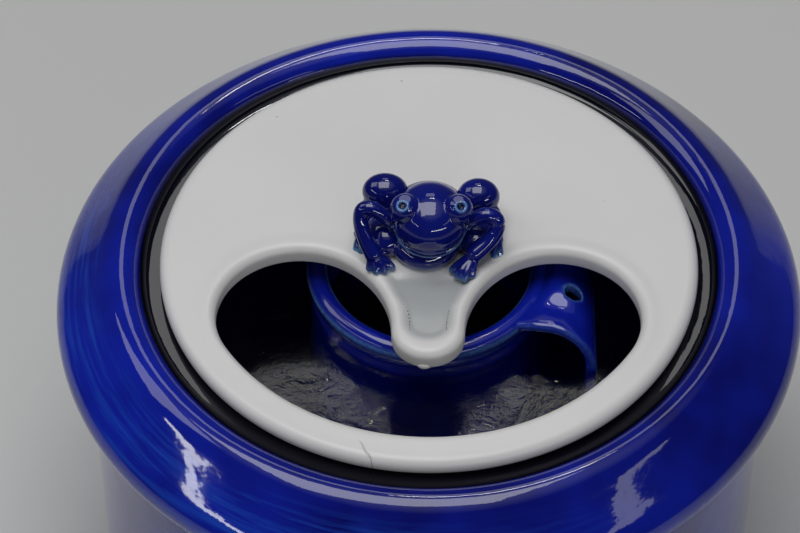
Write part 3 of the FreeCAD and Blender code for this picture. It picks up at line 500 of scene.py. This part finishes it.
def make_well():
    """Pump well: bored inside, with a rolled lip, a groove under it and a slight belly."""
    lip = (WELL_RADIUS - 32.8) / 2
    top = WELL_TOP - lip
    outer = WELL_RADIUS
    profile = np.vstack([
        [[32.8, FLOOR_INSIDE], [outer - 1.2, FLOOR_INSIDE], [outer - 0.4, 60.0], [outer - 1.4, top - 9.0],
         [outer - 1.9, top - 5.0], [outer - 0.6, top - 2.6]],
        arc((outer - lip, top), lip, 0, 180, 24),
        [[32.8, top - 4.0], [32.8, FLOOR_INSIDE]],
    ])
    profile = even(profile, 300, 0.55)
    well = turned("pump_well_glazed", profile, 200, (0.0, WELL_BACK))
    z = read(well.data)[:, 2] / MM
    radius = np.hypot(read(well.data)[:, 0] / MM, read(well.data)[:, 1] / MM - WELL_BACK)
    line = np.exp(-((radius - outer + 0.35) / 0.35) ** 2) * np.exp(-((z - top - 0.6) / 1.0) ** 2)
    line = line + 0.9 * np.exp(-((radius - 33.3) / 0.4) ** 2) * np.exp(-((z - top - 1.8) / 0.9) ** 2)
    line = line + 0.5 * np.exp(-((z - top + 3.0) / 0.7) ** 2) * (radius > 36)
    store(well.data, "thin", np.clip(line, 0, 1))
    dress(well, GLAZE, "pot", "cobalt_glaze", "pump_well")


def kidney(count):
    """The drinking opening's outline and the angle of the disc's edge that each point is joined to."""
    opening, lobe, half, neck, side_round = 74.0, 26.2, 11.6, 31.0, 34.0
    tilt, turn = 31.3, 128.0
    centre = (opening - lobe) * np.array([np.cos(np.radians(tilt)), -np.sin(np.radians(tilt))])
    corner = centre + lobe * np.array([np.cos(np.radians(turn)), np.sin(np.radians(turn))])
    hub = np.array([half + side_round, -neck])
    start = np.degrees(np.arctan2(corner[1] - hub[1], corner[0] - hub[0]))
    right = np.vstack([
        arc((0, 0), opening, -90, -tilt, 60), arc(centre, lobe, -tilt, turn, 90)[1:],
        arc(hub, side_round, start, 180, 50)[1:], arc((0, -neck), half, 0, -90, 40)[1:],
    ])
    edge = np.concatenate([np.linspace(-90, -tilt, 60), np.linspace(-tilt, 48, 90)[1:],
                           np.linspace(48, 76, 50)[1:], np.linspace(76, 90, 40)[1:]])
    outline = np.vstack([right, (right * [-1, 1])[-2:0:-1]])
    angle = np.concatenate([edge, 180 - edge[-2:0:-1]])
    closed = np.vstack([outline, outline[:1]])
    along = np.concatenate([[0], np.cumsum(np.hypot(*np.diff(closed, axis=0).T))])
    fine = np.linspace(0, along[-1], count, endpoint=False)
    points = np.stack([np.interp(fine, along, closed[:, i]) for i in (0, 1)], axis=1)
    spread = np.interp(fine, along, np.append(angle, 270.0))
    return points, np.radians(spread)


def smooth_step(low, high, value):
    """0 at low and 1 at high, with a level start and end: three times the square less twice the cube."""
    part = np.clip((value - low) / (high - low), 0, 1)
    return part * part * (3 - 2 * part)


def channel(x, y):
    """1 in the tongue's shallow dish, 0 outside, soft at its edge; it stops short of the rounded tip."""
    half = np.interp(-y, [9.0, 22.0, 27.5], [15.5, 9.8, 9.4])
    side = half - np.abs(x)
    front = 9.4 - np.hypot(x, y + 27.5)
    inside = np.where(y > -27.5, side, front)
    return smooth_step(-0.6, 4.6, inside) * smooth_step(-6.0, -11.5, y)


def make_cover():
    """Cover: one closed skin from the opening's edge, over the top, round the rim and back underneath."""
    count = 640
    hole, angle = kidney(count)
    along = np.roll(hole, -1, axis=0) - np.roll(hole, 1, axis=0)
    along /= np.hypot(*along.T)[:, None]
    away = np.stack([along[:, 1], -along[:, 0]], axis=1)
    thick = DISC_TOP - SEAT
    soft = 2.6
    under = 0.9
    nose = thick / 2
    ring = np.stack([np.cos(angle), np.sin(angle)], axis=1)
    reach = 6.0
    near = hole + away * reach
    far = ring * (DISC_RADIUS - nose)
    rows = []

    def row(plan, height):
        rows.append(np.column_stack([plan, np.broadcast_to(height, len(plan))]))

    for turn in np.radians(np.linspace(-90, 0, 5)):
        row(hole + away * under * (1 - np.cos(turn)), SEAT + under + under * np.sin(turn))
    for turn in np.radians(np.linspace(0, 90, 10)):
        row(hole + away * soft * (1 - np.cos(turn)), DISC_TOP - soft + soft * np.sin(turn))
    for step in np.linspace(soft, reach, 7)[1:]:
        row(hole + away * step, DISC_TOP)
    for part in np.linspace(0, 1, 60)[1:]:
        row(near + (far - near) * part ** 1.6, DISC_TOP)
    for turn in np.radians(np.linspace(90, -90, 15)[1:]):
        row(ring * (DISC_RADIUS - nose + nose * np.cos(turn)), SEAT + nose + nose * np.sin(turn))
    for part in np.linspace(1, 0, 12)[1:-1]:
        row(hole + away * under + (far - hole - away * under) * part, SEAT)
    points = np.stack(rows)
    x, y, z = points[..., 0], points[..., 1], points[..., 2]
    top = smooth_step(DISC_TOP - 1.2, DISC_TOP, z)
    gap = np.hypot(x[..., None] - hole[None, None, ::2, 0],
                   y[..., None] - hole[None, None, ::2, 1]).min(axis=-1)
    ridge = 0.28 * np.exp(-((gap - 3.2) / 2.4) ** 2)
    dish = channel(x, y)
    z = z + top * (ridge - 1.3 * dish + 0.06 * np.sin(x / 21 + 1) * np.sin(y / 27))
    skin = np.stack([x, y, z], axis=2).reshape(-1, 3)
    drip, drip_faces = ball((-1.0, -41.2, SEAT + 0.7), (2.6, 1.9, 1.5), 14, 24)
    faces = np.concatenate([grid(len(rows), count, True, True), drip_faces + len(skin)])
    cover = new_mesh("cover_porcelain", np.concatenate([skin, drip]), faces)
    # The dish mark drives the dish's painted shade and its gloss.
    store(cover.data, "channel", np.concatenate([(dish * top).ravel(), np.zeros(len(drip))]))
    merge(cover)
    dress(cover, PORCELAIN, "cover", "white_porcelain", "cover_disc")


def fingers(root, tips, height, thick):
    """Fused fingers or toes: short round rolls side by side from one root, with grooves between."""
    rolls = []
    for tip in tips:
        middle = [(root[0] + 2 * tip[0]) / 3, (root[1] + 2 * tip[1]) / 3, height + 2.4]
        rolls.append(limb([(*root, height + 4.2), middle, (*tip, height + 1.1)],
                          [thick * 1.2, thick * 1.05, thick * 0.85], columns=16, count=12))
    return rolls


def make_frog():
    """Frog of rolled clay, joined while soft: balls and limbs merged into one skin, then carved."""
    top = DISC_TOP
    head = np.array([0.3, 2.6, top + 14.2])
    eyes = {-1: np.array([-7.7, -0.1, top + 21.3]), 1: np.array([9.1, -0.1, top + 21.2])}
    parts = [
        ball((-1.2, 4.4, top + 3.0), (11.9, 13.0, 6.6)),
        ball((0, 13.0, top + 6.5), (12.0, 10.5, 8.0)),
        ball(head, (12.0, 12.3, 10.5)),
        ball(head + (0, 0.4, -4.0), (11.5, 12.6, 6.0)),
        ball((-14.2, 16.4, top + 11.3), (7.4, 6.0, 5.9)),
        ball((15.6, 15.2, top + 10.6), (6.9, 6.0, 5.9)),
        ball((-13.5, 5.0, top + 3.6), (6.6, 8.4, 6.0)),
        ball((14.6, 5.0, top + 3.4), (6.4, 8.0, 5.6)),
        limb([(-13, 15, top + 10), (-18.6, 13, top + 6.5), (-22.0, 6, top + 2.6)], [5.0, 3.8, 2.2]),
        limb([(14, 14, top + 9), (19.4, 11, top + 6), (21.6, 4, top + 2.4)], [5.0, 3.8, 2.2]),
    ]
    for side, eye in eyes.items():
        parts.append(ball(eye, (4.75, 4.75, 4.75), 40, 60))
    left = [(-9.5, 3.0, top + 9.6), (-13.4, 2.6, top + 13.4), (-17.8, 3.4, top + 17.0),
            (-21.2, 3.6, top + 16.2),
            (-21.7, 1.4, top + 12.4), (-20.0, -1.8, top + 8.0), (-17.6, -4.6, top + 4.4)]
    right = [(9.8, 2.4, top + 10.4), (14.4, 2.0, top + 14.2), (18.2, 2.4, top + 15.8),
             (21.3, 1.8, top + 14.4),
             (21.4, 0.4, top + 11.2), (19.0, -1.6, top + 8.0), (14.6, -4.4, top + 5.0)]
    parts.append(limb(left, [2.3, 2.4, 2.5, 2.5, 2.5, 2.6, 2.9]))
    parts.append(limb(right, [2.3, 2.4, 2.6, 2.5, 2.5, 2.6, 2.9]))
    parts += fingers((-17.2, -4.2), [(-18.8, -7.4), (-16.7, -8.7), (-14.2, -8.5), (-11.8, -6.9)], top, 1.55)
    parts += fingers((14.2, -4.6), [(7.6, -7.9), (9.2, -10.2), (11.3, -11.4), (13.6, -9.9)], top, 1.6)
    parts += fingers((-21.6, 4.6), [(-23.2, 1.4), (-21.6, 0.2)], top - 1.6, 1.5)
    parts += fingers((21.4, 4.0), [(22.6, -0.2), (20.9, -1.2)], top - 1.6, 1.5)
    frog = fused("frog_glazed", parts, 0.36, 3)
    co = read(frog.data) / MM
    normal = read(frog.data, "vector", "vertex_normals")
    push = np.zeros(len(co))
    thin = np.zeros(len(co))
    dark = np.zeros(len(co))
    for side, eye in eyes.items():
        look = np.array([side * 0.18, -0.52, 0.835])
        offset = co - eye
        depth = offset @ look
        across = np.linalg.norm(offset - depth[:, None] * look, axis=1)
        near = (depth > 0) * (np.linalg.norm(offset, axis=1) < 6.5)
        push += near * (0.22 * np.exp(-((across - 1.75) / 0.35) ** 2) - 1.3 * smooth_step(1.35, 0.95,
                                                                                          across))
        thin += near * 0.8 * np.exp(-((across - 1.7) / 0.28) ** 2)
        # The recessed pupils are made near black.
        dark += near * smooth_step(1.25, 0.95, across)
    offset = co - head
    level = offset @ np.array([0, -0.412, 0.912])
    rise = offset @ np.array([0, 0.743, 0.669])
    front = (offset[:, 1] < 4) * (np.abs(offset[:, 0]) < 12.6) * smooth_step(-1.2, -2.6, rise)
    push += front * (-0.75 * np.exp(-((level - 0.2) / 0.5) ** 2) + 0.4 * np.exp(-((level + 1.0) / 0.55) ** 2))
    thin += front * (0.4 * np.exp(-((level + 0.9) / 0.35) ** 2) + 0.25 * np.exp(-((level - 0.9) / 0.25) ** 2))
    # Painted shade: the mouth groove under the upper lip is darkened near black.
    dark += front * 0.7 * np.exp(-((level - 0.2) / 0.35) ** 2)
    points = co + normal * push[:, None]
    points[:, 2] = np.clip(points[:, 2], top - 0.12, top + 25.6)
    write(frog.data, points * MM)
    thin += np.clip((bulge(frog.data, 5) - 0.07) * 5, 0, 1) * 0.5
    low = co[:, 2] - top
    thin += np.exp(-((low - 0.3) / 0.7) ** 2) * 0.5 + smooth_step(3.4, 1.0, low) * (co[:, 1] < -5.5) * 0.22
    thin += smooth_step(3.0, 0.6, low) * (np.abs(co[:, 0]) > 20.5) * 0.5
    store(frog.data, "thin", np.clip(thin, 0, 1) * (1 - np.clip(dark, 0, 1)))
    store(frog.data, "pool_and_painted_shade", np.clip(dark, 0, 1))
    dress(frog, FROG_GLAZE, "cover", "cobalt_glaze", "frog_body", "frog_head", "frog_eyes", "frog_hands",
          "frog_feet",
          "frog_arm_left", "frog_arm_right", "frog_hind_leg_left", "frog_hind_leg_right")


def make_hood():
    """Hood pulled from a slab over the well's port: an arch carried back, its roof dished,
    with a raised air hole."""
    span = np.vstack([[[31.0, 131.2], [35.0, 132.6]], arc((39.6, 121.4), 12.9, 92, 0, 30),
                      [[53.0, 100.0], [54.5, 60.0], [56.0, FLOOR_INSIDE + 1.8]]])
    span = even(span, 90, 1.6)
    along = np.gradient(span, axis=0)
    along /= np.hypot(*along.T)[:, None]
    out = np.stack([-along[:, 1], along[:, 0]], axis=1)
    half = 1.9
    depth = np.linspace(14.0, -15.0, 36)
    lip = np.radians(np.linspace(90, -90, 11)[1:-1])
    across = np.concatenate([np.full(36, half), half * np.sin(lip), np.full(36, -half)])
    back = np.concatenate([depth, -15.0 - half * np.cos(lip), depth[::-1]])
    points = np.empty((len(span), len(across), 3))
    points[..., 0] = span[:, None, 0] + out[:, None, 0] * across
    points[..., 2] = span[:, None, 1] + out[:, None, 1] * across
    points[..., 1] = back
    x, y, z = points[..., 0], points[..., 1], points[..., 2]
    y -= smooth_step(2, -14, y) * 0.42 * np.clip(x - 36, -6, 30)
    x += (np.sqrt(36.3 ** 2 - (y - WELL_BACK) ** 2) - 31.0) * smooth_step(44, 31, x)
    roof = smooth_step(118, 132, z)
    z += roof * (1.1 * np.exp(-((x - 46.5) ** 2 + (y + 2.5) ** 2) / 26)
                 - 1.5 * np.exp(-((x - 41.0) ** 2 + (y + 9.0) ** 2) / 16)
                 - 0.7 * np.exp(-((x - 47.0) ** 2 + (y + 12.0) ** 2) / 9))
    skin = (points.reshape(-1, 3), grid(len(span), len(across), wrap_columns=True))
    caps = []
    for end in (0, len(span) - 1):
        caps.append(np.arange(len(across)) + end * len(across))
    quads = np.asarray(skin[1]).tolist() + [caps[0].tolist(), caps[1][::-1].tolist()]
    hood = new_mesh("intake_hood_glazed", skin[0], quads)
    merge(hood)
    drill = turned("drill", np.array([[0, 125.0], [2.8, 125.0], [2.8, 142.0], [0, 142.0]]), 40,
                   (46.5, -2.5))
    cut = hood.modifiers.new("air_hole", "BOOLEAN")
    cut.object = drill
    cut.operation = "DIFFERENCE"
    cut.solver = "EXACT"
    remesh = hood.modifiers.new("skin", "REMESH")
    remesh.mode = "VOXEL"
    remesh.voxel_size = 0.65 * MM
    relax = hood.modifiers.new("relax", "SMOOTH")
    relax.iterations = 6
    baked(hood)
    bpy.data.objects.remove(drill)
    co = read(hood.data) / MM
    thin = np.clip((bulge(hood.data, 3) - 0.06) * 4, 0, 1) * smooth_step(120, 123, co[:, 2]) * 0.55
    ring = np.hypot(co[:, 0] - 46.5, co[:, 1] + 2.5)
    store(hood.data, "thin", np.maximum(thin, 0.7 * np.exp(-((ring - 3.0) / 0.35) ** 2) * (co[:, 2] > 130)))
    dress(hood, GLAZE, "pot", "cobalt_glaze", "intake_hood")


make_pot()
make_well()
make_cover()
make_frog()
make_hood()

shown_slot = {part["node"]: part["material_slot"] for part in frame["record"]["subparts"]}
for node, thing in frame["nodes"].items():
    material = PLAIN[shown_slot[node]]
    thing.data.materials.clear()
    thing.data.materials.append(material)


def stage_material(name, colour):
    """Matt ground under the object."""
    material, tree, shader = new_material(name)
    shader.inputs["Base Color"].default_value = linear(colour)
    shader.inputs["Roughness"].default_value = 0.9
    return material


floor = new_mesh("floor", [(-1500, -1500, 0), (1500, -1500, 0), (1500, 2500, 0), (-1500, 2500, 0)],
                 [(0, 1, 2, 3)])
floor.data.materials.append(stage_material("pale_ground", "#D2D2CE"))

# Still water in the pot: content, not a part of the object.
angle = np.linspace(0, 2 * np.pi, 120, endpoint=False)
rings = np.linspace(0.5, 103.6, 40)[:, None]
surface = np.stack([rings * np.cos(angle), rings * np.sin(angle), WATER_LEVEL + 0 * rings * angle], axis=2)
water = new_mesh("still_water", surface.reshape(-1, 3), grid(40, 120, wrap_columns=True))
wet = bpy.data.materials.new("still_water_surface")
wet.use_nodes = True
wet_tree = wet.node_tree
wet_tree.nodes.clear()
ripple = put(wet_tree, "ShaderNodeTexNoise",
             {"Scale": 1 / 0.012, "Detail": 5.0, "Roughness": 0.62, "Distortion": 0.4},
             {"Vector": put(wet_tree, "ShaderNodeTexCoord").outputs["Object"]})
swell = put(wet_tree, "ShaderNodeBump", {"Strength": 0.45, "Distance": 0.0010},
            {"Height": ripple.outputs["Fac"]})
mirror = put(wet_tree, "ShaderNodeBsdfGlossy", {"Roughness": 0.03}, {"Normal": swell.outputs["Normal"]})
clear = put(wet_tree, "ShaderNodeBsdfTransparent", {"Color": (0.86, 0.9, 0.96, 1.0)})
share = put(wet_tree, "ShaderNodeFresnel", {"IOR": 1.333}, {"Normal": swell.outputs["Normal"]})
surface_mix = put(wet_tree, "ShaderNodeMixShader", links={0: share.outputs["Fac"], 1: clear.outputs[0],
                                                          2: mirror.outputs[0]})
put(wet_tree, "ShaderNodeOutputMaterial", links={"Surface": surface_mix.outputs[0]})
water.data.materials.append(wet)


def lamp(name, place, aim, size, power, colour="#FFFFFF"):
    """Rectangular soft box, in millimetres, aimed at a point."""
    data = bpy.data.lights.new(name, "AREA")
    data.shape = "RECTANGLE"
    data.size = size[0] * MM
    data.size_y = size[1] * MM
    data.energy = power
    data.color = linear(colour)[:3]
    thing = bpy.data.objects.new(name, data)
    way = Vector(aim) - Vector(place)
    turn = way.to_track_quat("-Z", "Y").to_matrix().to_4x4()
    thing.matrix_world = Matrix.Translation(Vector(place) * MM) @ turn
    bpy.context.scene.collection.objects.link(thing)


# A dim room with a pale ceiling: the glaze mirrors it softly, and the lamps give the highlights.
world = bpy.data.worlds.new("soft_room")
world.use_nodes = True
sky = world.node_tree
direction = put(sky, "ShaderNodeTexCoord").outputs["Generated"]
tilt = put(sky, "ShaderNodeVectorMath", {1: (0.0, 0.0, 1.0)}, {0: direction}, operation="DOT_PRODUCT")
ceiling = put(sky, "ShaderNodeMapRange", {"From Min": 0.78, "From Max": 0.99},
              {"Value": tilt.outputs["Value"]})
axes = put(sky, "ShaderNodeSeparateXYZ", links={0: direction})
behind = put(sky, "ShaderNodeMapRange", {"From Min": 0.2, "From Max": 0.9}, {"Value": axes.outputs["Y"]})
wall = put(sky, "ShaderNodeMix", {"A": linear("#26282E"), "B": linear("#3C3E46")},
           {"Factor": behind.outputs["Result"]}, data_type="RGBA")
room = put(sky, "ShaderNodeMix", {"B": linear("#B9BCC4")},
           {"Factor": ceiling.outputs["Result"], "A": wall.outputs["Result"]}, data_type="RGBA")
sky.links.new(room.outputs["Result"], sky.nodes["Background"].inputs["Color"])
sky.nodes["Background"].inputs["Strength"].default_value = 1.05
bpy.context.scene.world = world
SUBJECT = np.array([0.0, 0.0, 130.0])
for name, way, far, box, power in (
        ("left_strip", (-0.77, -0.42, 0.47), 1000, (700, 26), 0.45),
        ("left_fill", (-0.75, 0.25, 0.80), 1200, (600, 600), 2.0),
        ("right_strip", (0.74, -0.42, 0.50), 1000, (500, 40), 0.10),
        ("front_right_strip", (0.45, -0.82, 0.34), 1100, (900, 50), 1.8),
        ("crest_strip", (0.06, 0.50, 0.86), 1100, (190, 34), 0.45),
        ("back_top_box", (-0.02, 0.66, 0.75), 1100, (300, 180), 0.25),
        ("overhead_box", (-0.1, 0.0, 1.0), 1300, (900, 900), 7.8)):
    lamp(name, tuple(SUBJECT + np.array(way) * far), tuple(SUBJECT), box, power)

# Camera worked out from the ellipses of the cover and the rim in the photograph.
LENS = 162.0
DISTANCE = 1148.6
ELEVATION = np.radians(47.988)
ROLL = np.radians(0.581)
AIM_RIGHT = -9.24
AIM_UP = -4.15
toward = Vector((0, -np.cos(ELEVATION), np.sin(ELEVATION)))
level_right = Vector((1, 0, 0))
level_up = Vector((0, np.sin(ELEVATION), np.cos(ELEVATION)))
right = level_right * np.cos(ROLL) + level_up * np.sin(ROLL)
up = level_up * np.cos(ROLL) - level_right * np.sin(ROLL)
centre = Vector((0, 0, DISC_TOP))
place = centre + toward * DISTANCE
target = centre + right * AIM_RIGHT + up * AIM_UP
view = (place - target).normalized()
side = up.cross(view).normalized()
rise = view.cross(side)
camera_data = bpy.data.cameras.new("camera")
camera_data.lens = LENS
camera_data.sensor_width = 36.0
camera = bpy.data.objects.new("camera", camera_data)
turn = Matrix((side, rise, view)).transposed().to_4x4()
camera.matrix_world = Matrix.Translation(place * MM) @ turn
bpy.context.scene.collection.objects.link(camera)
bpy.context.scene.camera = camera
bpy.context.scene.view_settings.view_transform = "Standard"
